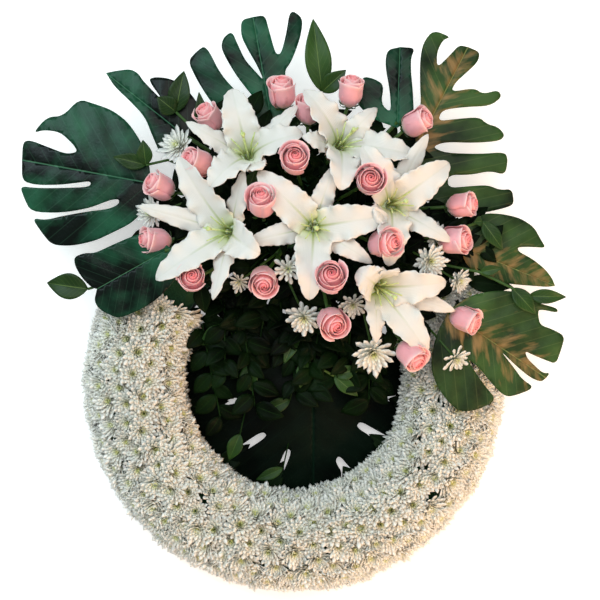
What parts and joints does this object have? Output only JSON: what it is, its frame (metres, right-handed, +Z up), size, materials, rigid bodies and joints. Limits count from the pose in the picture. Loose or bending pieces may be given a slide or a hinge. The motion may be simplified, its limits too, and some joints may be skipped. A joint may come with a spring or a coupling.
{
  "type": "funeral wreath",
  "caption": "Round funeral wreath of white chrysanthemums on a flat-backed ring, with a spray of white lilies, pink roses and monstera leaves over its top, lying on its back.",
  "frame": {"origin": "under the middle of the wreath's box, in the plane of the tray's underside that it lies on", "axes": "+Z up out of the flowers towards the viewer, +Y towards the wreath's top where the spray is, +X to the viewer's right"},
  "size_m": [0.7486, 0.8044, 0.2412],
  "materials": {
    "rose": "matt pink rose petals",
    "lily": "satin white lily petals",
    "chrysanthemum": "matt white chrysanthemum petals",
    "monstera_leaf": "glossy dark green leaf",
    "sprig_leaf": "satin green leaf",
    "foam": "matt green floral foam",
    "tray": "matt dark plastic"
  },
  "bodies": {
    "root": {"rose_01": "rose", "rose_02": "rose", "rose_03": "rose", "rose_04": "rose", "rose_05": "rose", "rose_06": "rose", "rose_07": "rose", "rose_08": "rose", "rose_09": "rose", "rose_10": "rose", "rose_11": "rose", "rose_12": "rose", "rose_13": "rose", "rose_14": "rose", "rose_15": "rose", "rose_16": "rose", "rose_17": "rose", "rose_18": "rose", "rose_19": "rose", "rose_20": "rose", "lily_centre": "lily", "lily_left": "lily", "lily_upper_left": "lily", "lily_upper_right": "lily", "lily_right": "lily", "lily_lower_right": "lily", "spray_mums_left": "chrysanthemum", "spray_mums_lower": "chrysanthemum", "spray_mums_lower_right": "chrysanthemum", "spray_mums_right": "chrysanthemum", "spray_mums_edge": "chrysanthemum", "sprig_far_left": "sprig_leaf", "sprig_upper_left": "sprig_leaf", "sprig_left": "sprig_leaf", "sprig_centre": "sprig_leaf", "sprig_top": "sprig_leaf", "sprig_right": "sprig_leaf", "sprig_lower_right": "sprig_leaf", "sprig_eye": "sprig_leaf", "monstera_left": "monstera_leaf", "monstera_lower_left": "monstera_leaf", "monstera_upper_left": "monstera_leaf", "monstera_top": "monstera_leaf", "monstera_top_right_small": "monstera_leaf", "monstera_top_right": "monstera_leaf", "monstera_right": "monstera_leaf", "monstera_lower_right": "monstera_leaf", "monstera_eye_front": "monstera_leaf", "monstera_eye_back": "monstera_leaf", "ring_mums_1": "chrysanthemum", "ring_mums_2": "chrysanthemum", "ring_mums_3": "chrysanthemum", "ring_mums_4": "chrysanthemum", "ring_mums_5": "chrysanthemum", "ring_mums_6": "chrysanthemum", "ring_mums_7": "chrysanthemum", "ring_mums_8": "chrysanthemum", "spray_foam": "foam", "foam_ring": "foam", "ring_tray": "tray"}
  },
  "joints": []
}
